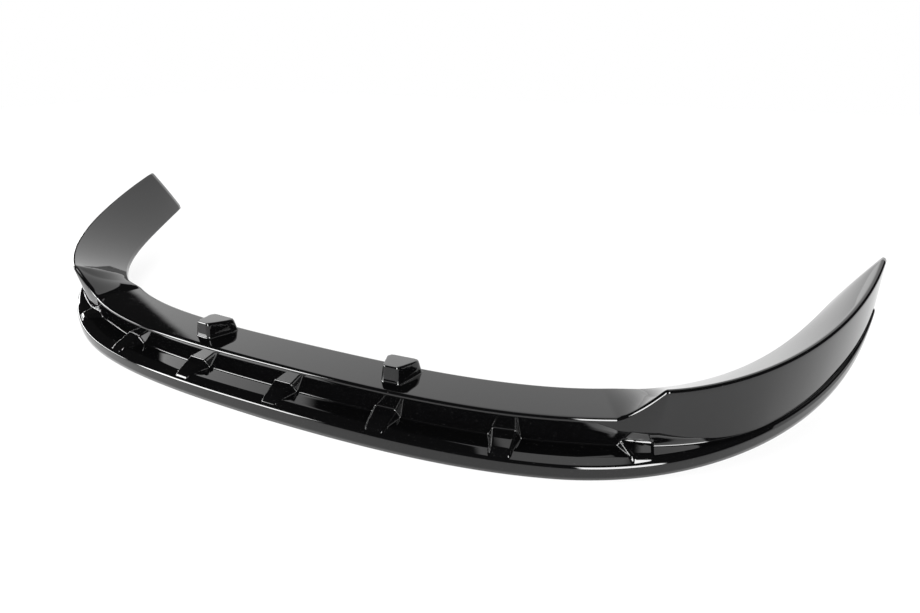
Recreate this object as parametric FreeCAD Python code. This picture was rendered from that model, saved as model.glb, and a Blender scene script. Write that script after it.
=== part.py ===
import FreeCAD, Part
import math
import os

# Front splitter lip: one vacuum-formed sheet, 4 mm thick, that wraps round the foot of a bumper.
# It is built as it is made. An outer form, the body under the visible face, and an inner form,
# the same body one sheet thickness further in, are each lofted along the leading edge. The ribs
# and the locating blocks are raised on the outer form and sunk by the sheet in the inner form.
# The lip is the outer form less the inner form, trimmed by a flat cut at each wing end.

V = FreeCAD.Vector

DRIVING = [
    # plan line of the leading edge, right half, as the poles of one smooth curve
    ("pole_centre_x", 204.0, "second pole, on the centre tangent"),
    ("pole_corner_x", 613.0, "third pole, x"),
    ("pole_corner_y", 9.0, "third pole, y"),
    ("pole_wing_x", 846.0, "fourth pole, x"),
    ("pole_wing_y", 328.0, "fourth pole, y"),
    ("pole_end_x", 898.0, "end of the blade, x"),
    ("pole_end_y", 560.0, "end of the blade, y"),
    # sheet
    ("sheet", 4.0, "sheet thickness"),
    # blade
    ("blade_height", 27.0, "height of the blade at the centre"),
    ("blade_height_end", 14.0, "height of the blade at the wing end"),
    ("blade_flat", 480.0, "length from the centre before the blade starts to rise"),
    ("blade_rise", 98.0, "steady rise of the blade towards the wing end"),
    ("blade_kick", 18.0, "extra rise over the last stretch"),
    # shelf and groove
    ("shelf_width", 49.0, "leading edge to crease, centre"),
    ("shelf_narrow", 6.5, "leading edge to crease, wing"),
    ("shelf_step", 7.0, "crease above the leading edge"),
    ("shoulder_part", 0.39, "share of the shelf before its front slope ends"),
    ("shoulder_rise", 0.9, "share of the step climbed by that slope"),
    ("shelf_from", 480.0, "where the shelf starts to narrow"),
    ("shelf_upto", 810.0, "where it is narrow"),
    # ridge
    ("level_reach", 390.0, "run over which the flange is exactly level and flat"),
    ("ridge_inset", 37.0, "leading edge to ridge, centre"),
    ("ridge_inset_wing", 12.0, "leading edge to ridge, wing"),
    ("ridge_inset_end", 4.5, "leading edge to ridge, wing end"),
    ("ridge_height", 84.0, "flange height at the centre"),
    ("ridge_step", 61.5, "height of the sweep up to the wing"),
    ("sweep_from", 567.0, "where the sweep starts"),
    ("sweep_upto", 648.0, "where the sweep ends"),
    ("ridge_climb", 102.0, "further climb of the ridge to its tip"),
    # flange
    ("flange_inset", 126.0, "leading edge to inner edge, centre"),
    ("flange_inset_wing", 110.0, "leading edge to inner edge, start of the wing"),
    ("flange_taper", 37.0, "narrowing of the flange along the wing"),
    ("flange_climb", 48.0, "climb of the inner edge along the wing"),
    ("rim_depth", 9.0, "turned-down rim of the inner edge"),
    ("rim_lean", 1.5, "lean of the rim"),
    # roundings of the visible face
    ("round_blade", 6.0, "leading edge"),
    ("round_shoulder", 20.0, "end of the shelf's front slope, centre"),
    ("round_crease", 2.0, "crease"),
    ("round_ridge", 4.5, "ridge, centre"),
    ("round_ridge_wing", 7.5, "ridge, wing"),
    ("round_inner", 6.0, "inner edge"),
    # trimmed wing end
    ("trim_ridge", 28.0, "ridge runs on past the blade"),
    ("trim_inner", 52.0, "inner edge runs on past the blade"),
    # stiffening ribs across the crease
    ("rib_pitch", 199.0, "spacing of the ribs along the leading edge"),
    ("rib_base", 55.0, "width in the crease"),
    ("rib_foot", 31.0, "width at the foot"),
    ("rib_foot_gap", 11.0, "leading edge to rib foot"),
    ("rib_nose", 9.0, "height of the rib front"),
    ("rib_nose_run", 8.0, "slope of the rib front"),
    ("rib_head", 16.0, "height of the rib at the wall"),
    ("rib_draft", 6.5, "side draft of a rib over its height"),
    ("rib_round", 3.5, "rounding of the rib edges"),
    # locating blocks on the flange
    ("block_place", 197.0, "centre line to block, along the leading edge"),
    ("block_front", 24.0, "width of the block front"),
    ("block_back", 50.0, "width of the block back"),
    ("block_gap", 19.0, "ridge to block front"),
    ("block_length", 50.0, "length of the block"),
    ("block_height", 26.0, "height of the block front"),
    ("block_height_back", 19.0, "height of the block back"),
    ("block_draft", 4.0, "draft of the block sides"),
    ("block_round", 4.0, "rounding of the block edges"),
]

doc = FreeCAD.newDocument("splitter_lip")
sheet = doc.addObject("Spreadsheet::Sheet", "dimensions")
for row, (alias, value, note) in enumerate(DRIVING, start=1):
    sheet.set("A%d" % row, alias)
    sheet.set("B%d" % row, "%g" % value)
    sheet.set("C%d" % row, note)
    sheet.setAlias("B%d" % row, alias)
doc.recompute()


class Dimensions:
    """The driving dimensions, read back from the spreadsheet."""

    def __getattr__(self, name):
        return float(getattr(sheet, name))


d = Dimensions()

# The leading edge in plan, right half. It leaves the centre square to the car's length.
lead = Part.BSplineCurve()
lead.buildFromPolesMultsKnots(
    [V(0, 0, 0), V(d.pole_centre_x, 0, 0), V(d.pole_corner_x, d.pole_corner_y, 0),
     V(d.pole_wing_x, d.pole_wing_y, 0), V(d.pole_end_x, d.pole_end_y, 0)],
    [4, 1, 4], [0.0, 0.5, 1.0], False, 3)
LENGTH = lead.length()


def step(x, start, end):
    """Smooth change from 0 at start to 1 at end."""
    u = min(max((x - start) / (end - start), 0.0), 1.0)
    return u * u * (3 - 2 * u)


def share(run, start, end):
    """How far run has gone from start to end: 0 before start, over 1 past end."""
    return max((run - start) / (end - start), 0.0)


def frame_at(run):
    """Point of the leading edge, its tangent and the inward normal, at a run from the centre.

    Left of the centre the run is negative. Past the end the edge goes on straight.
    """
    along = abs(run)
    u = lead.parameterAtDistance(min(along, LENGTH), 0.0) if along > 0 else 0.0
    point = lead.value(u)
    tangent = V(*lead.tangent(u)[0])
    point = point + tangent * max(along - LENGTH, 0.0)
    if run < 0:
        point = V(-point.x, point.y, 0)
        tangent = V(tangent.x, -tangent.y, 0)
    return point, tangent, V(-tangent.y, tangent.x, 0)


def lead_height(run):
    """Height of the leading edge: level at the front, rising along the wing."""
    v = share(abs(run), d.blade_flat, LENGTH)
    return d.blade_height + d.blade_rise * v ** 1.8 + d.blade_kick * v ** 8


def blade_depth(run):
    """Height of the blade, which gets lower towards the wing end."""
    return d.blade_height + (d.blade_height_end - d.blade_height) * abs(run) / LENGTH


def corners(run):
    """Corners of the visible face in section, as (inset from the leading edge, height)."""
    along = abs(run)
    top = lead_height(run)
    narrow = step(along, d.shelf_from, d.shelf_upto)
    crease = d.shelf_width + (d.shelf_narrow - d.shelf_width) * narrow
    sweep = step(along, d.sweep_from, d.sweep_upto)
    wing = share(along, d.sweep_upto, LENGTH)
    inset = d.ridge_inset + (d.ridge_inset_wing - d.ridge_inset) * sweep
    inset += (d.ridge_inset_end - d.ridge_inset_wing) * wing
    ridge = d.ridge_height + d.ridge_step * sweep + d.ridge_climb * wing ** 1.56
    edge = d.flange_inset + (d.flange_inset_wing - d.flange_inset) * sweep
    edge -= d.flange_taper * (0.45 * wing + 0.55 * wing ** 4)
    inner = d.ridge_height + d.flange_climb * wing ** 2.1
    return [
        (0.0, top - blade_depth(run)),
        (0.0, top),
        (d.shoulder_part * crease, top + d.shoulder_rise * d.shelf_step),
        (crease, top + d.shelf_step),
        (inset, ridge),
        (edge, inner),
        (edge + d.rim_lean, inner - d.rim_depth),
    ]


def roundings(run, depth):
    """Radius at each corner. A bend's inside is tighter by the depth, its outside is wider."""
    wide = corners(run)[3][0] / d.shelf_width
    wing = step(abs(run), d.sweep_from, d.sweep_upto)
    ridge = d.round_ridge + (d.round_ridge_wing - d.round_ridge) * wing
    shoulder = 1.0 + (d.round_shoulder - 1.0) * wide
    tight = [max(radius - depth, 0.6) for radius in (d.round_blade, shoulder, ridge, d.round_inner)]
    return [0, tight[0], tight[1], d.round_crease + depth / 2, tight[2], tight[3], 0]


def unit(a, b):
    dx, dz = b[0] - a[0], b[1] - a[1]
    size = math.hypot(dx, dz)
    return dx / size, dz / size


def sunk(line, depth):
    """The open line of corners moved sideways by depth, towards the hidden side."""
    out = []
    last = len(line) - 1
    for i, (w, z) in enumerate(line):
        before = unit(line[max(i - 1, 0)], line[max(i, 1)])
        after = unit(line[min(i, last - 1)], line[min(i + 1, last)])
        nw = before[1] + after[1]
        nz = -before[0] - after[0]
        scale = depth / (1 + before[0] * after[0] + before[1] * after[1])
        out.append((w + nw * scale, z + nz * scale))
    return out


def section(run, line, radii, flats, tail):
    """Closed outline of one section: the line with its corners rounded, then the hidden tail.

    A rounding is cut as narrow flats between points that lie on its arc.
    """
    out = [line[0]]
    for i in range(1, len(line) - 1):
        back = unit(line[i], line[i - 1])
        ahead = unit(line[i], line[i + 1])
        cosine = -(back[0] * ahead[0] + back[1] * ahead[1])
        turn = math.acos(max(-1.0, min(1.0, cosine)))
        reach = radii[i] * math.tan(turn / 2)
        for k in range(flats + 1):
            s, c = math.sin(turn * k / flats), math.cos(turn * k / flats)
            along = radii[i] * s - reach
            side = radii[i] * (1 - c) / math.sin(turn)
            out.append((line[i][0] - back[0] * along + (ahead[0] + back[0] * cosine) * side,
                        line[i][1] - back[1] * along + (ahead[1] + back[1] * cosine) * side))
    point, _, inward = frame_at(run)
    return [point + inward * w + V(0, 0, z) for w, z in out + [line[-1]] + tail]


def through(points, runs):
    """Smooth curve that passes each point at its run, and is exactly level at the front."""
    curve = Part.BSplineCurve()
    curve.interpolate(Points=points, Parameters=runs)
    level = points[len(points) // 2].z
    last = max(i for i, run in enumerate(runs) if run <= d.level_reach) + 1
    for i in range(len(runs) - 1 - last, last + 1):
        pole = curve.getPole(i + 2)
        curve.setPole(i + 2, V(pole.x, pole.y, level))
    return curve


def strip(one, other, start, stop):
    """Face between two lanes, from one run to another. Between level lanes it is a flat face."""
    pair = [one.copy(), other.copy()]
    for lane in pair:
        lane.segment(start, stop)
    heights = [pole.z for lane in pair for pole in lane.getPoles()]
    if max(heights) - min(heights) < 1e-6:
        ends = [Part.makeLine(pair[0].value(run), pair[1].value(run)) for run in (start, stop)]
        return Part.Face(Part.Wire([pair[0].toShape(), ends[1], pair[1].toShape(), ends[0]]))
    surface = Part.BSplineSurface()
    surface.buildFromPolesMultsKnots(
        [lane.getPoles() for lane in pair], [2, 2], pair[0].getMultiplicities(),
        [0.0, 1.0], pair[0].getKnots(), False, False, 1, pair[0].Degree)
    return surface.toShape()


def skinned(rows, runs):
    """Solid through every section: strips between neighbouring lanes, in three stretches."""
    lanes = [through([row[j] for row in rows], runs) for j in range(len(rows[0]))]
    stretches = [(runs[0], -d.level_reach), (-d.level_reach, d.level_reach),
                 (d.level_reach, runs[-1])]
    faces = []
    for one, other in zip(lanes, lanes[1:] + lanes[:1]):
        faces += [strip(one, other, start, stop) for start, stop in stretches]
    for row in (rows[0], rows[-1]):
        faces.append(Part.Face(Part.makePolygon(row + [row[0]])))
    shell = Part.makeCompound(faces)
    shell.sewShape(0.001)
    solid = Part.Solid(shell if shell.ShapeType == "Shell" else shell.Shells[0])
    if solid.Volume < 0:
        solid.reverse()
    return solid


def form(depth):
    """Body under the visible face, or with a depth, under the hidden face."""
    end = LENGTH + d.trim_inner + 40
    sweep = d.sweep_upto - d.sweep_from
    half = [d.level_reach * k / 3 for k in range(4)] + [d.sweep_from - sweep]
    half += [d.sweep_from + sweep * (k - 0.5) / 5 for k in range(7)]
    first = half[-1]
    half += [first + (end - first) * (k / 8.0) ** 1.15 for k in range(1, 9)]
    runs = [-r for r in reversed(half[1:])] + half
    rows = []
    for run in runs:
        line = corners(run)
        foot = line[0]
        rim = line[-1]
        middle = (0.5 * rim[0], foot[1] - 6)
        if depth:
            line = sunk(line, depth)
            line[0] = (line[0][0], line[0][1] - 4)
            line[-1] = (line[-1][0], line[-1][1] - 4)
            tail = [(middle[0], middle[1] - 12)]
        else:
            tail = [(rim[0] - 14, rim[1]), middle, (foot[0] + 14, foot[1])]
        rows.append(section(run, line, roundings(run, depth), 1 if depth else 3, tail))
    return skinned(rows, runs)


def prism(face_points, direction):
    """Solid between a flat outline and its copy moved by direction."""
    wire = Part.makePolygon(face_points + [face_points[0]])
    return Part.Face(wire).extrude(direction)


def hopper(bottom, top):
    """Solid with flat sides between two parallel outlines."""
    wires = [Part.makePolygon(points + [points[0]]) for points in (bottom, top)]
    return Part.makeLoft(wires, True, True)


def rounded(solid, radius, keep):
    """Round the edges whose middle the keep test accepts."""
    edges = []
    for edge in solid.Edges:
        middle = edge.valueAt((edge.FirstParameter + edge.LastParameter) / 2)
        if keep(middle):
            edges.append(edge)
    return solid.makeFillet(radius, edges)


def rib(run, depth):
    """Wedge across the crease: narrow sloping front, rising to the wall, sides drafted."""
    point, tangent, inward = frame_at(run)
    line = corners(run)
    lead_corner, crease, ridge = line[1], line[3], line[4]
    along_shelf = unit(lead_corner, crease)
    up_wall = unit(crease, ridge)

    def on_shelf(w, lift):
        z = lead_corner[1] + (w - lead_corner[0]) * along_shelf[1] / along_shelf[0]
        return (w, z + lift)

    foot = on_shelf(d.rib_foot_gap, 0)
    nose = on_shelf(d.rib_foot_gap + d.rib_nose_run, d.rib_nose)
    head = (crease[0] + up_wall[0] * d.rib_head, crease[1] + up_wall[1] * d.rib_head)
    rise = unit(foot, nose)
    roof = unit(nose, head)
    knee = (foot[0] - rise[0] * d.sheet, foot[1] - rise[1] * d.sheet)
    low = (knee[0], knee[1] - 3 * d.sheet)
    far = (head[0] + roof[0] * 6 * d.sheet, head[1] + roof[1] * 6 * d.sheet)
    outline = [low, knee, nose, far]
    if depth:
        outline = sunk(outline, depth)
    outline = outline + [(outline[-1][0], outline[0][1])]
    wide = d.rib_base
    slab = [point + inward * w + V(0, 0, z) - tangent * wide for w, z in outline]
    body = prism(slab, tangent * (2 * wide))

    side = (d.rib_base - d.rib_foot) / 2 / (crease[0] - foot[0])
    slant = d.rib_draft / d.rib_head
    thin = depth * math.sqrt(1 + side * side + slant * slant)

    def half_width(w, z):
        return d.rib_foot / 2 + side * (w - foot[0]) - slant * (z - foot[1]) - thin

    def outline_at(z):
        near, back = low[0] - 5, far[0] + 10
        return [point + inward * w + tangent * (s * half_width(w, z)) + V(0, 0, z)
                for w, s in ((near, -1), (back, -1), (back, 1), (near, 1))]

    solid = body.common(hopper(outline_at(low[1] - 8), outline_at(far[1] + 8)))
    if depth:
        return solid
    floor = min(z for w, z in outline) + 0.5
    back = max(w for w, z in outline) - 0.5

    def raised(middle):
        return middle.z > floor and (middle - point).dot(inward) < back

    return rounded(solid, d.rib_round, raised)


def block(run, depth):
    """Locating block on the flange: wedge in plan, higher at its narrow front."""
    point, tangent, inward = frame_at(run)
    ridge = corners(run)[4]
    front = ridge[0] + d.block_gap
    back = front + d.block_length
    base = ridge[1]
    deep = 16.0
    lean = d.block_draft / d.block_height
    outline = [(front - lean * deep, base - deep), (front + d.block_draft, base + d.block_height),
               (back - d.block_draft, base + d.block_height_back), (back + lean * deep, base - deep)]
    if depth:
        outline = sunk(outline, depth)
    wide = d.block_back
    slab = [point + inward * w + V(0, 0, z) - tangent * wide for w, z in outline]
    body = prism(slab, tangent * (2 * wide))
    side = (d.block_back - d.block_front) / 2 / d.block_length
    thin = depth * math.sqrt(1 + side * side + lean * lean)

    def outline_at(z):
        out = []
        for w, s in ((front - 12, -1), (back + 12, -1), (back + 12, 1), (front - 12, 1)):
            half = d.block_front / 2 + side * (w - front) - lean * (z - base) - thin
            out.append(point + inward * w + tangent * (s * half) + V(0, 0, z))
        return out

    solid = body.common(hopper(outline_at(base - deep - 4), outline_at(base + d.block_height + 6)))
    if depth:
        return solid
    return rounded(solid, d.block_round, lambda middle: middle.z > base - deep + 1)


def trim_plane():
    """Point and normal of the flat cut at the right wing end."""
    def at(extra, index):
        run = LENGTH + extra
        point, _, inward = frame_at(run)
        w, z = corners(run)[index]
        return point + inward * w + V(0, 0, z)

    blade = at(0.0, 1)
    tip = at(d.trim_ridge, 4)
    inner = at(d.trim_inner, 5)
    normal = (tip - blade).cross(inner - blade)
    normal.normalize()
    if normal.y < 0:
        normal = normal * -1
    return blade, normal


def trimmer(mirrored):
    """Block that takes away everything past the cut."""
    start, normal = trim_plane()
    if mirrored:
        start = V(-start.x, start.y, start.z)
        normal = V(-normal.x, normal.y, normal.z)
    size = 900.0
    box = Part.makeBox(size, size, size, V(-size / 2, -size / 2, 0))
    turn = FreeCAD.Rotation(V(0, 0, 1), normal)
    box.Placement = FreeCAD.Placement(start, turn)
    return box


rib_runs = [k * d.rib_pitch for k in range(-3, 4)]
block_runs = [-d.block_place, d.block_place]


def raised_parts(depth):
    return [rib(run, depth) for run in rib_runs] + [block(run, depth) for run in block_runs]


outer = form(0.0)
inner = form(d.sheet)
for feature in raised_parts(0.0):
    outer = outer.fuse(feature)
for feature in raised_parts(d.sheet):
    inner = inner.fuse(feature)
lip = outer.cut(inner)
lip = lip.cut(trimmer(False)).cut(trimmer(True))
if len(lip.Solids) != 1:
    lip = max(lip.Solids, key=lambda solid: solid.Volume)
else:
    lip = lip.Solids[0]

# The row's frame: origin under the middle of the lip, at the height of its lowest edge.
box = lip.optimalBoundingBox(False, False)
node = doc.addObject("Part::Feature", "splitter_lip")
node.Label = "splitter_lip"
node.Shape = lip
node.Placement = FreeCAD.Placement(
    V(0, -(box.YMin + box.YMax) / 2, -box.ZMin), FreeCAD.Rotation())
doc.recompute()

for item in doc.Objects:
    if "Invalid" in item.State or "Error" in item.State:
        raise RuntimeError("object %s is in state %s" % (item.Label, item.State))
if node.Shape.isNull() or not node.Shape.isValid():
    raise RuntimeError("the lip's shape is not valid")
print("solids", len(node.Shape.Solids), "size", box.XLength, box.YLength, box.ZLength)

os.makedirs("parts", exist_ok=True)
node.Shape.exportStep(os.path.join("parts", node.Label + ".step"))
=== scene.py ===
import math

import bpy
import numpy as np
from bpy.props import FloatProperty, FloatVectorProperty, IntProperty, PointerProperty
from mathutils import Matrix, Vector


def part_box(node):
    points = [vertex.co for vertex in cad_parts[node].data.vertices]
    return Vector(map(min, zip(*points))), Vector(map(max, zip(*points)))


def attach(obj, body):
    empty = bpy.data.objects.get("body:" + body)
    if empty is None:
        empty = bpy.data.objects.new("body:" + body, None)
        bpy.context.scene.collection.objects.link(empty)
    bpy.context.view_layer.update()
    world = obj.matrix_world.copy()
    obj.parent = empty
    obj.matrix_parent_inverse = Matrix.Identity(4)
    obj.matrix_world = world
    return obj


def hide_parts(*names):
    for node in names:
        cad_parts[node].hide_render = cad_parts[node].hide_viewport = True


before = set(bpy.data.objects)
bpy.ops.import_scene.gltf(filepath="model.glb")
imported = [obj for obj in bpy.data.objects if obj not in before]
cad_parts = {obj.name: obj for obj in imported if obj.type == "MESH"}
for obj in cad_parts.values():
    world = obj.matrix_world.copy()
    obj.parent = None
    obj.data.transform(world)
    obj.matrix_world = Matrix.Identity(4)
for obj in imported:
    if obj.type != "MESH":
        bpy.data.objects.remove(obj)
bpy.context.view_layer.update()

bl_info = {
    "name": "Front splitter lip",
    "version": (1, 0, 0),
    "blender": (4, 5, 0),
    "location": "View3D > Sidebar > Splitter lip",
    "description": "A vacuum-formed front splitter lip, its finish and a plain studio",
    "category": "Add Mesh",
}

UP = np.array([0.0, 0.0, 1.0])

# Poles of the leading edge in plan, right half, in metres.
PLAN_POLES = ((0, 0), (0.204, 0), (0.613, 0.009), (0.846, 0.328), (0.898, 0.560))
PLAN_POINTS = 1500          # on each of its two curves

# How sharply each height or width bends with its share of the run: 1 is straight.
BLADE_BEND = 1.8
KICK_BEND = 8
RIDGE_BEND = 1.56
INNER_BEND = 2.1
TAPER_BEND = 4
TAPER_STRAIGHT = 0.45       # the part of the flange's taper that is straight
SWEEP_BEND = (1.6, 1.1)     # at the ridge and at the inner edge
SWEEP_OVER = 1.12           # the sweep's height before its knee holds it at 1
SWEEP_KNEE = 0.08           # rounding of that knee
FADE = 0.6                  # how much of the shelf is gone at the wing end
SHOULDER = (0.39, 0.9)      # shares of the shelf's width and step at the shoulder

# Steps across each stretch of the section, on the visible and on the hidden face.
VISIBLE = (3, 8, 16, 5, 20, 5, 15, 8, 44, 6, 3)
HIDDEN = (2, 2, 4, 2, 7, 2, 6, 3, 16, 2, 2)
SHELF, TOP, RIM = 2, 8, 10  # the stretches at which shelf, flange and rim begin
# Shares of the flange's steps, and of its width, at which its lanes crowd or spread.
FLANGE = ((0, 0.13, 0.43, 0.63, 0.92, 1), (0, 0.215, 0.30, 0.90, 0.975, 1))

# Stations along the lip, in metres.
SPACING = 0.0100            # where nothing else asks for more
SWEEP_SPACING = 0.0034
SWEEP_MARGIN = 0.02
RIB_SIDE = (0.0095, 0.0305, 18)         # from a rib's middle: first, last, how many
BLOCK_SIDE = (-0.0065, 0.0035, 15)      # from a block's mean side: first, last, how many
LEAST_SPACING = 0.0009
SPLAY_FADE = (0.030, 0.075)             # from a block's middle: full splay, none
CUT_RANGE = (-0.12, 0.16, 57)           # around the wing end, where lanes meet the cut
CUT_KNEE = 0.30                         # before the wing end, where stretching starts
REACH = 1.2                             # widths from its middle that a rib or block may lift

# Noise over the plastic, as scale, detail and stretch along each axis, and the two levels
# between which it fades in.
WAVES = (9.0, 1.0)
RIPPLES = (38.0, 1.0)
PATCHES, PATCH_EDGE = (14.0, 2.0), (0.42, 0.75)
SPECKS, SPECK_EDGE = (420.0, 0.0), (0.79, 0.84)
HAIRLINES, HAIRLINE_EDGE = (60.0, 1.0, (0.5, 6.0, 6.0)), (0.735, 0.76)

# The studio's light by direction: x to the right, y to the back, z up. Each pair is where a
# smooth edge starts and ends.
SCREEN_NEAR = (0.08, 0.18)              # in y
SCREEN_LEFT = (-0.012, 0.012)           # in x plus y times the lean
SCREEN_LEAN = (2.136, 2.27, 0.9, 1.6)   # lean at z = 0, its fall with z, least and most
SCREEN_RIGHT = (-0.04, 0.04)            # in y times the slope less x
SCREEN_SLOPE = 0.62
PANEL_SOFT = 0.02
SIDE_NEAR = (-0.90, -0.92)              # in x
SIDE_TOP = (0.16, 0.12)                 # in z

# The camera, from the fit to the photograph: three axes, place and lens.
CAMERA_RIGHT = (0.908932, 0.416930, 0.003487)
CAMERA_UP = (-0.165694, 0.353522, 0.920633)
CAMERA_BACK = (0.382607, -0.837371, 0.390410)
CAMERA_PLACE = (0.6442, -0.9603, 0.5694)
LENS_MM, FRAME_MM = 24.0, 36.0
CLIP = (0.01, 50.0)


def length(default, name, description):
    return FloatProperty(name=name, description=description, default=default,
                         unit="LENGTH", precision=4)


def turn(default, name, description):
    return FloatProperty(name=name, description=description, default=math.radians(default),
                         subtype="ANGLE", unit="ROTATION")


def number(default, name, description):
    return FloatProperty(name=name, description=description, default=default, min=0.0)


def factor(default, name, description):
    return FloatProperty(name=name, description=description, default=default,
                         subtype="FACTOR", min=0.0, max=1.0)


def colour(default, name, description):
    return FloatVectorProperty(name=name, description=description, default=default,
                               subtype="COLOR", size=4, min=0.0, max=1.0)


class LipSizes(bpy.types.PropertyGroup):
    """Sizes of the lip, measured along the leading edge, inwards from it, and upwards."""

    sheet: length(0.004, "Sheet", "Thickness of the formed sheet")
    blade_height: length(0.027, "Blade", "Height of the blade at the centre")
    blade_height_end: length(0.014, "Blade at the end", "Height of the blade at the wing end")
    blade_flat: length(0.480, "Blade level to", "Run at which the blade starts to rise")
    blade_rise: length(0.098, "Blade rise", "Steady rise of the blade along the wing")
    blade_kick: length(0.018, "Blade kick", "Extra rise over the last stretch")
    shelf_width: length(0.049, "Shelf", "Leading edge to crease at the centre")
    shelf_narrow: length(0.0065, "Shelf on the wing", "Leading edge to crease on the wing")
    shelf_step: length(0.007, "Shelf step", "Crease above the leading edge")
    shelf_from: length(0.480, "Shelf narrows from", "Run at which the shelf starts to narrow")
    shelf_upto: length(0.810, "Shelf narrow at", "Run at which the shelf is narrow")
    shelf_fade: length(0.960, "Shelf fades from", "Run at which the shelf starts to fade out")
    ridge_inset: length(0.037, "Ridge inset", "Leading edge to ridge at the centre")
    ridge_inset_wing: length(0.0120, "Ridge inset, wing", "Leading edge to ridge on the wing")
    ridge_inset_end: length(0.0055, "Ridge inset, end", "Leading edge to ridge at the wing end")
    ridge_height: length(0.084, "Ridge", "Height of the flange at the centre")
    ridge_step: length(0.0615, "Sweep", "Height of the sweep up to the wing")
    sweep_from: length(0.567, "Sweep from", "Run at which the sweep starts")
    sweep_upto: length(0.648, "Sweep to", "Run at which the sweep ends")
    sweep_knee: length(0.632, "Sweep knee", "Run at which the ridge is up on the wing")
    sweep_slant: length(0.060, "Sweep slant", "How much later it ends at the inner edge")
    ridge_climb: length(0.0895, "Ridge climb", "Further climb of the ridge to its tip")
    flange_inset: length(0.126, "Flange", "Leading edge to inner edge at the centre")
    flange_inset_wing: length(0.110, "Flange, wing", "Leading edge to inner edge, wing start")
    flange_taper: length(0.034, "Flange taper", "Narrowing of the flange along the wing")
    flange_climb: length(0.041, "Flange climb", "Climb of the inner edge along the wing")
    flange_rise: length(0.004, "Flange rise", "Rise of the inner edge at the sweep")
    rim_depth: length(0.009, "Rim", "Depth of the turned-down rim")
    rim_lean: length(0.0015, "Rim lean", "Lean of the rim")
    round_blade: length(0.006, "Leading edge rounding", "Radius of the leading edge")
    round_shoulder: length(0.020, "Shoulder rounding", "Radius of the shoulder at the centre")
    round_shoulder_least: length(0.001, "Shoulder rounding, least",
                                 "Radius of the shoulder where the shelf is gone")
    round_crease: length(0.002, "Crease rounding", "Radius of the crease")
    round_ridge: length(0.0045, "Ridge rounding", "Radius of the ridge")
    round_inner: length(0.006, "Inner edge rounding", "Radius of the inner edge")
    round_inner_wing: length(0.002, "Inner edge rounding, wing",
                             "Radius of the inner edge on the wing")
    round_least: length(0.0006, "Least rounding", "Least radius on the hidden face")
    trim_blade: length(-0.0035, "Blade overrun", "Blade runs on past the end of the plan line")
    trim_ridge: length(0.028, "Ridge overrun", "Ridge runs on past the blade")
    trim_inner: length(0.049, "Inner overrun", "Inner edge runs on past the blade")
    rib_pitch: length(0.199, "Rib pitch", "Spacing of the ribs along the leading edge")
    rib_last: length(0.603, "Last rib", "Centre line to the outermost rib")
    rib_base: length(0.055, "Rib base", "Width of a rib in the crease")
    rib_foot: length(0.031, "Rib foot", "Width of a rib at its foot")
    rib_foot_gap: length(0.0045, "Rib foot gap", "Leading edge to rib foot")
    rib_nose: length(0.0055, "Rib nose", "Height of the rib front")
    rib_nose_run: length(0.0035, "Rib nose run", "Slope of the rib front")
    rib_head: length(0.016, "Rib head", "Height of the rib at the wall")
    rib_last_head: length(0.009, "Last rib head", "Height of the outermost rib at the wall")
    rib_draft: length(0.0065, "Rib draft", "Side draft of a rib over its height")
    rib_nose_round: length(0.006, "Rib nose rounding", "Rounding between front and roof")
    rib_side_round: length(0.0045, "Rib side rounding", "Rounding between sides and roof")
    rib_fillet: length(0.0012, "Rib fillet", "Filled valley around a rib")
    rib_count: IntProperty(name="Ribs", description="Ribs on each side of the middle one",
                           default=3, min=0, max=3)
    block_place: length(0.1985, "Block place", "Centre line to block")
    block_shift: length(0.0025, "Block shift", "How far both blocks sit to the right")
    block_front: length(0.031, "Block front", "Width of the block front")
    block_back: length(0.068, "Block back", "Width of the block back")
    block_gap: length(0.0235, "Block gap", "Ridge to block front")
    block_length: length(0.058, "Block length", "Length of the block")
    block_height: length(0.030, "Block height", "Height of the block front")
    block_height_back: length(0.0215, "Block back height", "Height of the block back")
    block_draft: length(0.004, "Block draft", "Draft of the block sides")
    block_front_round: length(0.005, "Block front rounding", "Rounding of the front corners")
    block_back_round: length(0.012, "Block back rounding", "Rounding of the back corners")
    block_roof_round: length(0.007, "Block roof rounding", "Rounding of the roof's edge")
    block_fillet: length(0.003, "Block fillet", "Filled valley around a block")


class LipFinish(bpy.types.PropertyGroup):
    """Gloss black plastic."""

    colour: colour((0.0012, 0.0012, 0.0013, 1.0), "Plastic", "Colour of the moulded plastic")
    dust: colour((0.02, 0.02, 0.02, 1.0), "Dust", "Colour of the specks of dust")
    index: number(1.5, "Index of refraction", "Strength of the plastic's reflections")
    roughness: factor(0.02, "Roughness", "Roughness of the polished face")
    dull: factor(0.02, "Dull patches", "Extra roughness where the polish is duller")
    flaw_rough: factor(0.10, "Flaw roughness", "Extra roughness on specks and hairlines")
    hairlines: factor(0.6, "Hairlines", "Strength of the fine scratches")
    dust_cover: factor(0.7, "Dust cover", "How much a speck hides the plastic")
    wave_strength: factor(0.06, "Waviness", "Strength of the bump")
    wave_height: length(0.0012, "Wave height", "Height of the bump")
    ripple: factor(0.12, "Ripple", "Share of the finer waves")
    flaw_depth: factor(0.04, "Flaw depth", "How deep specks and hairlines cut")


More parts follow.
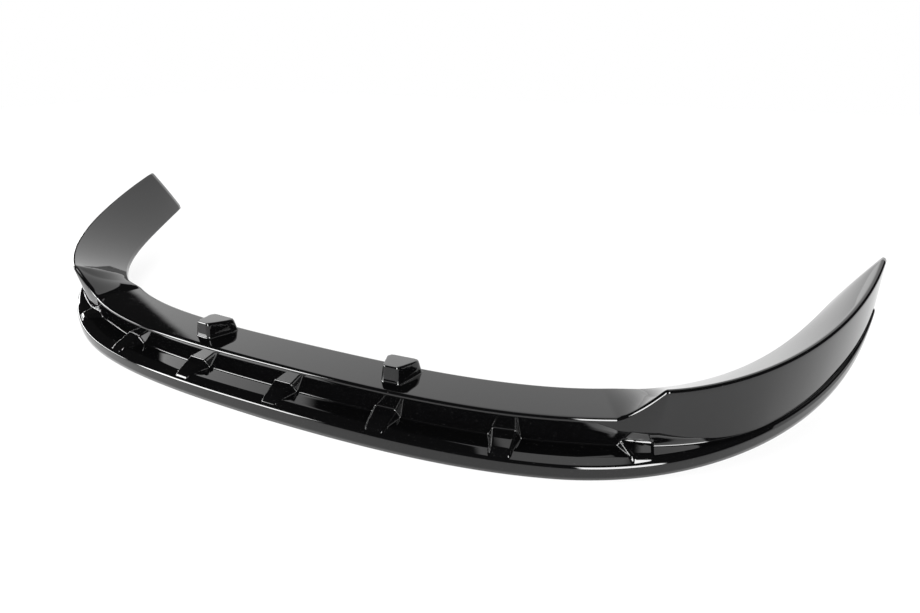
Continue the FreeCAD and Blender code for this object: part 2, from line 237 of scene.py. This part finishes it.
class StudioLook(bpy.types.PropertyGroup):
    """Floor and light of the plain studio."""

    floor: colour((0.80, 0.80, 0.80, 1.0), "Floor", "Colour of the floor")
    floor_size: length(6.0, "Floor size", "From the middle of the floor to its edge")
    floor_white: factor(0.85, "Floor white", "How much of the floor is plain white where seen")
    floor_rough: factor(0.9, "Floor roughness", "Roughness of the floor")
    floor_shine: factor(0.1, "Floor shine", "Strength of the floor's own reflections")
    top_power: number(150.0, "Top light", "Power of the soft lamp over the floor")
    top_size: length(6.0, "Top light size", "Width of the soft lamp")
    top_height: length(3.0, "Top light height", "Height of the soft lamp")
    screen: number(1.4, "Screen", "Level of the bright screen behind")
    room: number(0.02, "Room", "Level of the rest of the room")
    left_panel: number(22.0, "Left panel", "Level of the left panel")
    left_from: turn(124.0, "Left panel from", "Turn clockwise from the right at its near end")
    left_upto: turn(151.0, "Left panel to", "Turn clockwise from the right at its far end")
    left_high: number(0.42, "Left panel top", "Upward part of the direction to its top")
    right_panel: number(22.0, "Right panel", "Level of the right panel")
    right_from: turn(37.0, "Right panel from", "Turn clockwise from the right at its near end")
    right_upto: turn(63.0, "Right panel to", "Turn clockwise from the right at its far end")
    right_high: number(0.70, "Right panel top", "Upward part of the direction to its top")
    side_panel: number(12.0, "Side panel", "Level of the low panel at the left")


# ---- shape of the lip -------------------------------------------------------------------

def step(x, start, end):
    """Smooth change from 0 at start to 1 at end: 3u^2 - 2u^3 of the share u travelled."""
    u = np.clip((x - start) / (end - start), 0.0, 1.0)
    return u * u * (3 - 2 * u)


def share(x, start, end):
    """How far x has gone from start to end: 0 before start, over 1 past end."""
    return np.maximum((x - start) / (end - start), 0.0)


def smaller(a, b, radius):
    """The smaller of two heights, with their edge rounded over the radius."""
    return np.minimum(a, b) - np.maximum(radius - abs(a - b), 0.0) ** 2 / (4 * radius)


def larger(a, b, radius):
    """The larger of two heights, with their valley filled over the radius."""
    return -smaller(-a, -b, radius)


def plan_table():
    """Leading edge in plan, right half: two cubic curves end to end, against run length.

    Each point is the cubic Bernstein blend of four poles. The run is the summed chord length.
    """
    p = np.array(PLAN_POLES)
    one, two = (p[1] + p[2]) / 2, (p[2] + p[3]) / 2
    middle = (one + two) / 2
    t = np.linspace(0, 1, PLAN_POINTS)[:, None]
    halves = []
    for a, b, c, e in ((p[0], p[1], one, middle), (middle, two, p[3], p[4])):
        halves.append(a * (1 - t) ** 3 + 3 * b * t * (1 - t) ** 2
                      + 3 * c * t * t * (1 - t) + e * t ** 3)
    line = np.concatenate([halves[0], halves[1][1:]])
    chord = np.linalg.norm(np.diff(line, axis=0), axis=1)
    run = np.concatenate([[0], np.cumsum(chord)])
    slope = np.gradient(line, run, axis=0)
    slope /= np.linalg.norm(slope, axis=1)[:, None]
    return run, line, slope


PLAN = plan_table()
END = float(PLAN[0][-1])


def frame_at(run):
    """Point of the leading edge, its tangent and the inward normal, as arrays of 3 numbers.

    Left of the centre the run is negative and x and the tangent's y change sign. Past the
    end the edge goes on straight.
    """
    table, line, slope = PLAN
    along = np.abs(run)
    side = np.where(run < 0, -1.0, 1.0)
    over = np.maximum(along - END, 0.0)
    tx, ty = (np.interp(along, table, slope[:, k]) for k in (0, 1))
    size = np.hypot(tx, ty)
    tx, ty = tx / size, ty / size
    x = np.interp(along, table, line[:, 0]) + tx * over
    y = np.interp(along, table, line[:, 1]) + ty * over
    flat = np.zeros_like(x)
    point = np.stack([x * side, y, flat], -1)
    tangent = np.stack([tx, ty * side, flat], -1)
    inward = np.stack([-ty * side, tx, flat], -1)
    return point, tangent, inward


def risen(s, along, t=0.0):
    """Share of the sweep's height reached: the travelled share to a power, a little more than
    1 at its end, held at 1 with a rounded knee. At share t across the flange the power is
    lower and the knee comes later."""
    power = SWEEP_BEND[0] + (SWEEP_BEND[1] - SWEEP_BEND[0]) * t
    gone = share(along, s.sweep_from, s.sweep_knee + s.sweep_slant * t)
    return smaller(SWEEP_OVER * gone ** power, 1.0, SWEEP_KNEE)


def corners(s, run):
    """Corners of the visible face at each run, as (inset, height) pairs: foot, leading edge,
    shoulder, crease, ridge, inner edge and rim. Each follows its own smooth law of the run.
    """
    along = np.abs(run)
    v = share(along, s.blade_flat, END)
    top = s.blade_height + s.blade_rise * v ** BLADE_BEND + s.blade_kick * v ** KICK_BEND
    deep = s.blade_height + (s.blade_height_end - s.blade_height) * along / END
    narrow = step(along, s.shelf_from, s.shelf_upto)
    fade = 1 - FADE * step(along, s.shelf_fade, END)
    crease = (s.shelf_width + (s.shelf_narrow - s.shelf_width) * narrow) * fade
    rise = s.shelf_step * fade
    sweep = risen(s, along)
    wing = share(along, s.sweep_upto, END)
    inset = s.ridge_inset + (s.ridge_inset_wing - s.ridge_inset) * sweep
    inset = inset + (s.ridge_inset_end - s.ridge_inset_wing) * wing
    ridge = s.ridge_height + s.ridge_step * sweep + s.ridge_climb * wing ** RIDGE_BEND
    turn_in = step(along, s.sweep_from, s.sweep_upto)
    taper = TAPER_STRAIGHT * wing + (1 - TAPER_STRAIGHT) * wing ** TAPER_BEND
    edge = s.flange_inset + (s.flange_inset_wing - s.flange_inset) * turn_in
    edge = edge - s.flange_taper * taper
    inner = s.ridge_height + s.flange_climb * wing ** INNER_BEND + s.flange_rise * turn_in
    pairs = [(0 * top, top - deep), (0 * top, top),
             (SHOULDER[0] * crease, top + SHOULDER[1] * rise), (crease, top + rise),
             (inset, ridge), (edge, inner), (edge + s.rim_lean, inner - s.rim_depth)]
    return [np.stack(pair, -1) for pair in pairs]


def radii(s, run, depth):
    """Rounding at each corner, less the depth on the outside of a bend, more on the inside."""
    wide = corners(s, run)[3][..., 0] / s.shelf_width
    wing = step(np.abs(run), s.sweep_from, s.sweep_upto)
    least = s.round_shoulder_least
    bends = [s.round_blade + 0 * run, least + (s.round_shoulder - least) * wide,
             s.round_crease + 0 * run, s.round_ridge + 0 * run,
             s.round_inner + (s.round_inner_wing - s.round_inner) * wing]
    out = [0]
    for k, radius in enumerate(bends):
        hollow = k == 2
        radius = radius + depth / 2 if hollow else np.maximum(radius - depth, s.round_least)
        out.append(radius[..., None])
    return out + [0]


def unit(v):
    """Vectors scaled to length 1."""
    return v / np.linalg.norm(v, axis=-1, keepdims=True)


def sunk(line, depth):
    """Each corner moved along its bisector so that both its sides move sideways by depth."""
    out = []
    last = len(line) - 1
    for i, corner in enumerate(line):
        before = unit(line[max(i, 1)] - line[max(i - 1, 0)])
        after = unit(line[min(i + 1, last)] - line[min(i, last - 1)])
        normal = np.stack([before[..., 1] + after[..., 1], -before[..., 0] - after[..., 0]], -1)
        square = 1 + (before * after).sum(-1, keepdims=True)
        out.append(corner + normal * depth / square)
    return out


def rounding(line, i, radius, t):
    """Point at share t of the arc that rounds corner i: radius times sine and one less cosine
    of the angle turned, measured from where the arc leaves the side before the corner."""
    back = unit(line[i - 1] - line[i])
    ahead = unit(line[i + 1] - line[i])
    cosine = -(back * ahead).sum(-1, keepdims=True)
    bend = np.arccos(np.clip(cosine, -1, 1))
    reach = radius * np.tan(bend / 2)
    angle = bend * t[:, None]
    return (line[i] - back * (radius * np.sin(angle) - reach)
            + (ahead + back * cosine) * (radius * (1 - np.cos(angle)) / np.sin(bend)))


def part_of_line(line, radius, k, t):
    """Stretch k of the section at shares t: even ones are straight, odd ones are roundings."""
    i = k // 2
    if k % 2:
        return rounding(line, i + 1, radius[i + 1], t)
    one, none = np.ones_like(t), np.zeros_like(t)
    start = rounding(line, i, radius[i], one) if i else line[0]
    last = i + 2 == len(line)
    stop = line[i + 1] if last else rounding(line, i + 1, radius[i + 1], none)
    return start + (stop - start) * t[:, None]


def lanes(steps):
    """Stretch number and share for each lane. A stretch leaves out its last point, which is
    the next one's first, and the flange crowds its lanes at the block's front and back."""
    out = []
    for k, n in enumerate(steps):
        t = np.linspace(0, 1, n + 1)
        if k == TOP:
            t = np.interp(t, *FLANGE)
        if k < len(steps) - 1:
            t = t[:-1]
        out.append((k, t))
    return out


def local(points, run):
    """Coordinates of points in the frame at one run: along, inward and up."""
    point, tangent, inward = frame_at(np.array(run))
    away = points - point
    return away @ tangent, away @ inward, points[..., 2]


def filleted(lift, radius):
    """A raised height with the valley around it filled, and nothing below 0."""
    return np.maximum(larger(lift, 0 * lift, radius) - radius / 4, 0.0)


def raise_rib(s, points, run, depth):
    """A rib across the crease. Each point moves forwards and up, at half a right angle, by the
    smallest of its distances to the rib's nose, roof and side planes, or stays if that is
    negative. The edges between the planes are rounded."""
    along, w, z = local(points, run)
    inward = frame_at(np.array(run))[2]
    lead, shoulder, crease, ridge = corners(s, np.array(float(run)))[1:5]
    shelf = unit(shoulder - lead)
    wall = unit(ridge - crease)
    foot = lead + shelf * (s.rib_foot_gap / shelf[0])
    nose = foot + np.array([s.rib_nose_run, s.rib_nose + s.rib_nose_run * shelf[1] / shelf[0]])
    last = abs(run) > s.rib_last - s.rib_base
    head = crease + wall * (s.rib_last_head if last else s.rib_head)
    a = b = math.sqrt(0.5)
    here = np.stack([w, z], -1)
    lifts = []
    for start, stop in ((foot, nose), (nose, head)):
        way = unit(stop - start)
        normal = np.array([-way[1], way[0]])
        lifts.append(((start - here) @ normal - depth) / (normal @ np.array([-a, b])))
    side = (s.rib_base - s.rib_foot) / 2 / (crease[0] - foot[0])
    slant = s.rib_draft / s.rib_head
    thin = depth * math.sqrt(1 + side * side + slant * slant)
    half = s.rib_foot / 2 + side * (w - foot[0]) - slant * (z - foot[1]) - thin
    lifts.append((half - np.abs(along)) / (side * a + slant * b))
    lift = smaller(lifts[0], lifts[1], s.rib_nose_round)
    lift = filleted(smaller(lift, lifts[2], s.rib_side_round), s.rib_fillet)
    lift = np.where(np.abs(along) < s.rib_base, lift, 0.0)
    return points + lift[..., None] * (UP * b - inward * a)


def raise_block(s, points, run, depth):
    """A locating block on the flange: the height over the flange is the smallest of the roof,
    front, back and side planes, each drafted, with rounded edges."""
    along, w, _ = local(points, run)
    front = corners(s, np.array(float(run)))[4][0] + s.block_gap
    back = front + s.block_length
    lean = s.block_draft / s.block_height
    side = (s.block_back - s.block_front) / 2 / s.block_length
    thin = depth * math.sqrt(1 + side * side + lean * lean)
    edge = depth * math.sqrt(1 + lean * lean)
    fall = (s.block_height - s.block_height_back) / s.block_length
    roof = s.block_height - fall * (w - front) - depth
    half = s.block_front / 2 + side * (w - front) - thin
    inside = smaller(half - np.abs(along), w - front - edge, s.block_front_round)
    inside = smaller(inside, back - w - edge, s.block_back_round)
    lift = filleted(smaller(inside / lean, roof, s.block_roof_round), s.block_fillet)
    lift = np.where(np.abs(along) < s.block_back, lift, 0.0)
    return points + lift[..., None] * UP


def block_runs(s):
    """Runs of the two blocks."""
    return [s.block_shift - s.block_place, s.block_shift + s.block_place]


def rib_runs(s):
    """Runs of all the ribs: evenly spaced from the middle, the outermost at its own place."""
    right = [k * s.rib_pitch for k in range(1, s.rib_count + 1)]
    if right:
        right[-1] = s.rib_last
    return [-run for run in right[::-1]] + [0.0] + right


def stations(s):
    """Runs of the stations: close over the sides of each rib and block, over the sweep, and
    wider elsewhere."""
    half = [np.arange(0.0, END + s.trim_inner, SPACING)]
    side = np.linspace(*RIB_SIDE)
    for run in rib_runs(s)[s.rib_count:]:
        half += [run - side, run + side]
    side = (s.block_front + s.block_back) / 4 + np.linspace(*BLOCK_SIDE)
    for run in block_runs(s):
        half += [abs(run) - side, abs(run) + side]
    half.append(np.arange(s.sweep_from - SWEEP_MARGIN, s.sweep_upto + SWEEP_MARGIN,
                          SWEEP_SPACING))
    runs = np.unique(np.round(np.concatenate(half), 5))
    keep = []
    for run in runs[runs >= 0]:
        if not keep or run - keep[-1] > LEAST_SPACING:
            keep.append(run)
    keep = np.array(keep)
    return np.concatenate([-keep[:0:-1], keep])


def place(s, run, depth, steps):
    """Points of one face: section lanes at each station's run, (stations, lanes, 3)."""
    out = []
    at = 0
    for k, t in lanes(steps):
        here = run[:, at:at + len(t)]
        line = corners(s, here)
        radius = radii(s, here, depth)
        if depth:
            line = sunk(line, depth)
        flat = [part_of_line([c[:, j] for c in line],
                             [r if np.isscalar(r) else r[:, j] for r in radius], k, t[j:j + 1])
                for j in range(len(t))]
        w, z = np.moveaxis(np.stack(flat, 1), -1, 0)
        if k == TOP:
            along = np.abs(here)
            late = risen(s, along, t) - risen(s, along)
            z = z + (1 - t) * s.ridge_step * late
        point, _, inward = frame_at(here)
        out.append(point + inward * w[..., None] + UP * z[..., None])
        at += len(t)
    return np.concatenate(out, 1)


def cut_plane(s):
    """Point and normal of the flat cut at the right wing end."""
    ends = []
    for extra, index in ((s.trim_blade, 1), (s.trim_ridge, 4), (s.trim_inner, 5)):
        run = np.array(END + extra)
        point, _, inward = frame_at(run)
        w, z = corners(s, run)[index]
        ends.append(point + inward * w + UP * z)
    normal = unit(np.cross(ends[1] - ends[0], ends[2] - ends[0]))
    return ends[0], normal * np.sign(normal[1])


def trimmed(s, runs, depth, steps):
    """Runs for each station and lane. Over the wing's last stretch each lane's stations are
    stretched so that its last one lies in the cut plane."""
    count = sum(len(t) for _, t in lanes(steps))
    start, normal = cut_plane(s)
    before, after, tries = CUT_RANGE
    probe = np.linspace(END + before, END + after, tries)
    test = place(s, np.repeat(probe[:, None], count, 1), depth, steps)
    over = (test - start) @ normal
    first = np.argmax(over > 0, axis=0)
    short, past = over[first - 1, np.arange(count)], over[first, np.arange(count)]
    stop = probe[first - 1] - short / (past - short) * (probe[1] - probe[0])
    knee = END - CUT_KNEE
    along = np.abs(runs)[:, None]
    far = along.max()
    stretched = knee + (along - knee) * (stop[None] - knee) / (far - knee)
    return np.sign(runs)[:, None] * np.where(along > knee, stretched, along)


def splayed(s, runs, depth, steps):
    """Runs moved sideways on the flange so that the stations beside a block follow its
    splayed sides: the distance to the block's middle is scaled by the block's width there
    over its mean width, and the scale fades to 1 towards the ridge and away from the block."""
    first = sum(steps[:TOP])
    out = runs.copy()
    for centre in block_runs(s):
        line = place(s, np.full((1, runs.shape[1]), centre), depth, steps)[0, first:]
        w = local(line, centre)[1]
        front = s.ridge_inset + s.block_gap
        back = share(w, front, front + s.block_length).clip(0, 1)
        wide = (s.block_back - s.block_front) / (s.block_back + s.block_front)
        scale = wide * (2 * back - 1) * step(w, w[0], front)
        away = out[:, first:] - centre
        out[:, first:] = centre + away * (1 + scale * (1 - step(abs(away), *SPLAY_FADE)))
    return out


def face(s, runs, depth, steps):
    """One face of the sheet, visible at depth 0 and hidden at the sheet's depth."""
    points = place(s, splayed(s, trimmed(s, runs, depth, steps), depth, steps), depth, steps)
    ribbed = slice(sum(steps[:SHELF]), sum(steps[:TOP]))
    for run in rib_runs(s):
        near = np.abs(runs - run) < s.rib_base * REACH
        points[near, ribbed] = raise_rib(s, points[near, ribbed], run, depth)
    top = slice(sum(steps[:TOP]), sum(steps[:RIM]))
    for run in block_runs(s):
        near = np.abs(runs - run) < s.block_back * REACH
        points[near, top] = raise_block(s, points[near, top], run, depth)
    return points


def lip_grid(s):
    """Closed sheet: visible face outwards, hidden face back again, and both wing ends. The
    width is scaled, by less than 0.1%, to the solid's own."""
    runs = stations(s)
    seen = face(s, runs, 0.0, VISIBLE)
    unseen = face(s, runs, s.sheet, HIDDEN)[:, ::-1]
    ring = np.concatenate([seen, unseen], 1)
    n, m = ring.shape[:2]
    low, high = np.array(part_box("splitter_lip"))
    shift = np.array([0.0, (low[1] + high[1]) / 2 - (ring[..., 1].min() + ring[..., 1].max()) / 2,
                      low[2] - ring[..., 2].min()])
    fit = np.array([high[0] / ring[..., 0].max(), 1.0, 1.0])
    index = np.arange(n * m).reshape(n, m)
    beside = np.roll(index, -1, axis=1)
    quads = np.stack([index[:-1], beside[:-1], beside[1:], index[1:]], -1).reshape(-1, 4)
    return (ring * fit + shift).reshape(-1, 3), quads, index, seen.shape[1]


def end_caps(index, seen):
    """Faces across the sheet's thickness at both wing ends: strips between the two faces."""
    m = index.shape[1]
    pair = m - 1 - np.round(np.arange(seen) * (m - seen - 1) / (seen - 1)).astype(int)
    caps = []
    for ring, way in ((index[0], -1), (index[-1], 1)):
        for i in range(seen - 1):
            cap = [ring[i], ring[i + 1], ring[pair[i + 1]], ring[pair[i]]]
            caps.append(list(dict.fromkeys(cap))[::way])
    return caps


def build_mesh(name, points, faces):
    """A smooth-shaded object in the scene."""
    mesh = bpy.data.meshes.new(name)
    mesh.from_pydata(points.tolist(), [], faces)
    mesh.validate()
    mesh.shade_smooth()
    mesh.update()
    thing = bpy.data.objects.new(name, mesh)
    bpy.context.scene.collection.objects.link(thing)
    return thing


# ---- finish -----------------------------------------------------------------------------

def noise(tree, scale, detail, stretch=(1.0, 1.0, 1.0)):
    """Noise over the object's own coordinates, stretched along some axes."""
    own = tree.nodes.new("ShaderNodeTexCoord")
    scaled = tree.nodes.new("ShaderNodeVectorMath")
    scaled.operation = "MULTIPLY"
    scaled.inputs[1].default_value = stretch
    tree.links.new(own.outputs["Object"], scaled.inputs[0])
    node = tree.nodes.new("ShaderNodeTexNoise")
    node.inputs["Scale"].default_value = scale
    node.inputs["Detail"].default_value = detail
    tree.links.new(scaled.outputs["Vector"], node.inputs["Vector"])
    return node.outputs["Fac"]


def gloss_black(look):
    """Polished black plastic: near-black body, clear reflections, a slow waviness of the
    formed sheet, patches where the polish is a little duller, specks of dust and a few fine
    hairlines that run along the lip."""
    material = bpy.data.materials.new("gloss_black_plastic")
    material.use_nodes = True
    tree = material.node_tree
    shader = tree.nodes["Principled BSDF"]
    shader.inputs["IOR"].default_value = look.index

    patch = share_between(tree, noise(tree, *PATCHES), *PATCH_EDGE)
    speck = share_between(tree, noise(tree, *SPECKS), *SPECK_EDGE)
    lines = share_between(tree, noise(tree, *HAIRLINES), *HAIRLINE_EDGE)
    flaw = combine(tree, "MAXIMUM", speck, product(tree, lines, look.hairlines))

    rough = combine(tree, "ADD", look.roughness, product(tree, patch, look.dull))
    rough = combine(tree, "ADD", rough, product(tree, flaw, look.flaw_rough))
    tree.links.new(rough, shader.inputs["Roughness"])

    tint = tree.nodes.new("ShaderNodeMix")
    tint.data_type = "RGBA"
    tree.links.new(product(tree, speck, look.dust_cover), tint.inputs[0])
    plain, dusty = [p for p in tint.inputs if p.type == "RGBA"]
    plain.default_value, dusty.default_value = look.colour, look.dust
    mixed = [p for p in tint.outputs if p.type == "RGBA"][0]
    tree.links.new(mixed, shader.inputs["Base Color"])

    ripples = product(tree, noise(tree, *RIPPLES), look.ripple)
    height = combine(tree, "ADD", noise(tree, *WAVES), ripples)
    height = combine(tree, "SUBTRACT", height, product(tree, flaw, look.flaw_depth))
    bump = tree.nodes.new("ShaderNodeBump")
    bump.inputs["Strength"].default_value = look.wave_strength
    bump.inputs["Distance"].default_value = look.wave_height
    tree.links.new(height, bump.inputs["Height"])
    tree.links.new(bump.outputs["Normal"], shader.inputs["Normal"])
    return material


class LIP_OT_shell(bpy.types.Operator):
    """Make the formed sheet that stands for the lip"""

    bl_idname = "splitter.shell"
    bl_label = "Lip"

    def execute(self, context):
        s = context.scene.lip_sizes
        points, quads, index, seen = lip_grid(s)
        faces = quads.tolist() + end_caps(index, seen)
        shell = build_mesh("lip_shell", points, faces)
        shell.data.materials.append(gloss_black(context.scene.lip_finish))
        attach(shell, "root")
        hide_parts("splitter_lip")
        return {"FINISHED"}


# ---- studio -----------------------------------------------------------------------------

def share_between(tree, value, start, end):
    """Smooth change from 0 where the value is at start to 1 where it is at end."""
    node = tree.nodes.new("ShaderNodeMapRange")
    node.interpolation_type = "SMOOTHSTEP"
    node.inputs["From Min"].default_value = start
    node.inputs["From Max"].default_value = end
    tree.links.new(value, node.inputs["Value"])
    return node.outputs["Result"]


def combine(tree, operation, *values):
    """One Math node: each value is a number or another node's output."""
    node = tree.nodes.new("ShaderNodeMath")
    node.operation = operation
    for socket, value in zip(node.inputs, values):
        if isinstance(value, (int, float)):
            socket.default_value = value
        else:
            tree.links.new(value, socket)
    return node.outputs[0]


def product(tree, *values):
    """All the values multiplied, with one node for each after the first."""
    total = values[0]
    for value in values[1:]:
        total = combine(tree, "MULTIPLY", total, value)
    return total


def seen_share(tree, level):
    """The level for rays of the camera and of reflections, and 0 for the rest."""
    path = tree.nodes.new("ShaderNodeLightPath")
    seen = combine(tree, "MAXIMUM", path.outputs["Is Camera Ray"],
                   path.outputs["Is Glossy Ray"])
    return combine(tree, "MULTIPLY", seen, level)


def room(look):
    """Light from all round: a wide bright screen behind the lip, two long panels low in front,
    a lower one at its left, a dim room elsewhere, and plain white where the camera looks past
    the floor."""
    world = bpy.data.worlds.new("studio")
    world.use_nodes = True
    tree = world.node_tree
    way = tree.nodes.new("ShaderNodeTexCoord").outputs["Generated"]
    split = tree.nodes.new("ShaderNodeSeparateXYZ")
    tree.links.new(way, split.inputs["Vector"])
    x, y, z = (split.outputs[k] for k in "XYZ")
    start, fall, least, most = SCREEN_LEAN
    lean = combine(tree, "SUBTRACT", start, combine(tree, "MULTIPLY", z, fall))
    lean = combine(tree, "MINIMUM", combine(tree, "MAXIMUM", lean, least), most)
    left = combine(tree, "ADD", x, combine(tree, "MULTIPLY", y, lean))
    right = combine(tree, "SUBTRACT", combine(tree, "MULTIPLY", y, SCREEN_SLOPE), x)
    screen = product(tree, share_between(tree, y, *SCREEN_NEAR),
                     share_between(tree, left, *SCREEN_LEFT),
                     share_between(tree, right, *SCREEN_RIGHT), look.screen - look.room)
    turned = combine(tree, "ARCTAN2", combine(tree, "MULTIPLY", y, -1.0), x)
    level = combine(tree, "ADD", screen, look.room)
    soft = PANEL_SOFT
    above = share_between(tree, z, 0.0, soft)
    for start, end, high, power in (
            (look.left_from, look.left_upto, look.left_high, look.left_panel),
            (look.right_from, look.right_upto, look.right_high, look.right_panel)):
        panel = product(tree, share_between(tree, turned, start - soft, start + soft),
                        share_between(tree, turned, end + soft, end - soft), above,
                        share_between(tree, z, high + soft, high - soft), power)
        level = combine(tree, "ADD", level, panel)
    side = product(tree, share_between(tree, x, *SIDE_NEAR), above,
                   share_between(tree, z, *SIDE_TOP), look.side_panel)
    level = combine(tree, "ADD", level, side)
    path = tree.nodes.new("ShaderNodeLightPath")
    white = tree.nodes.new("ShaderNodeMix")
    tree.links.new(path.outputs["Is Camera Ray"], white.inputs["Factor"])
    tree.links.new(level, white.inputs["A"])
    white.inputs["B"].default_value = 1.0
    back = tree.nodes["Background"]
    tree.links.new(white.outputs["Result"], back.inputs["Strength"])
    back.inputs["Color"].default_value = (1.0, 1.0, 1.0, 1.0)
    return world


def floor_material(look):
    """Pale floor that keeps a faint shadow and is white to the camera and in reflections."""
    material = bpy.data.materials.new("floor_white")
    material.use_nodes = True
    tree = material.node_tree
    shader = tree.nodes["Principled BSDF"]
    shader.inputs["Base Color"].default_value = look.floor
    shader.inputs["Roughness"].default_value = look.floor_rough
    shader.inputs["Specular IOR Level"].default_value = look.floor_shine
    glow = tree.nodes.new("ShaderNodeEmission")
    glow.inputs["Strength"].default_value = 1.0
    mix = tree.nodes.new("ShaderNodeMixShader")
    tree.links.new(seen_share(tree, look.floor_white), mix.inputs["Fac"])
    tree.links.new(shader.outputs["BSDF"], mix.inputs[1])
    tree.links.new(glow.outputs["Emission"], mix.inputs[2])
    tree.links.new(mix.outputs["Shader"], tree.nodes["Material Output"].inputs["Surface"])
    return material


def soft_top(look):
    """Wide soft lamp high over the floor, left out of reflections."""
    lamp = bpy.data.lights.new("soft_top", "AREA")
    lamp.shape, lamp.size, lamp.energy = "SQUARE", look.top_size, look.top_power
    thing = bpy.data.objects.new("soft_top", lamp)
    thing.location = (0.0, 0.0, look.top_height)
    thing.visible_camera = False
    thing.visible_glossy = False
    bpy.context.scene.collection.objects.link(thing)


def add_camera(scene):
    """The camera that took the photograph."""
    lens = bpy.data.cameras.new("camera")
    lens.sensor_width = FRAME_MM
    lens.sensor_fit = "HORIZONTAL"
    lens.lens = LENS_MM
    lens.clip_start, lens.clip_end = CLIP
    camera = bpy.data.objects.new("camera", lens)
    axes = Matrix([Vector(axis) for axis in (CAMERA_RIGHT, CAMERA_UP, CAMERA_BACK)])
    pose = axes.transposed().to_4x4()
    pose.translation = Vector(CAMERA_PLACE)
    camera.matrix_world = pose
    scene.collection.objects.link(camera)
    scene.camera = camera


class LIP_OT_studio(bpy.types.Operator):
    """Make the floor, the soft light and the camera"""

    bl_idname = "splitter.studio"
    bl_label = "Studio"

    def execute(self, context):
        look = context.scene.studio_look
        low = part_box("splitter_lip")[0][2]
        size = look.floor_size
        mesh = bpy.data.meshes.new("floor")
        mesh.from_pydata([(-size, -size, low), (size, -size, low), (size, size, low),
                          (-size, size, low)], [], [(0, 1, 2, 3)])
        floor = bpy.data.objects.new("floor", mesh)
        context.scene.collection.objects.link(floor)
        mesh.materials.append(floor_material(look))

        context.scene.world = room(look)
        soft_top(look)
        add_camera(context.scene)
        context.scene.view_settings.view_transform = "Standard"
        return {"FINISHED"}


class LIP_PT_panel(bpy.types.Panel):
    """Lists the pieces and their sizes"""

    bl_label = "Splitter lip"
    bl_idname = "LIP_PT_panel"
    bl_space_type = "VIEW_3D"
    bl_region_type = "UI"
    bl_category = "Splitter lip"

    def draw(self, context):
        layout = self.layout
        for operator in OPERATORS:
            layout.operator(operator.bl_idname)
        for group in (context.scene.lip_sizes, context.scene.lip_finish,
                      context.scene.studio_look):
            box = layout.box()
            for name in group.__annotations__:
                box.prop(group, name)


OPERATORS = (LIP_OT_studio, LIP_OT_shell)
CLASSES = (LipSizes, LipFinish, StudioLook) + OPERATORS + (LIP_PT_panel,)


def register():
    for cls in CLASSES:
        bpy.utils.register_class(cls)
    bpy.types.Scene.lip_sizes = PointerProperty(type=LipSizes)
    bpy.types.Scene.lip_finish = PointerProperty(type=LipFinish)
    bpy.types.Scene.studio_look = PointerProperty(type=StudioLook)


def unregister():
    del bpy.types.Scene.lip_sizes
    del bpy.types.Scene.lip_finish
    del bpy.types.Scene.studio_look
    for cls in reversed(CLASSES):
        bpy.utils.unregister_class(cls)


def main():
    """Register, and make everything."""
    register()
    bpy.ops.splitter.studio()
    bpy.ops.splitter.shell()


if __name__ == "__main__":
    main()
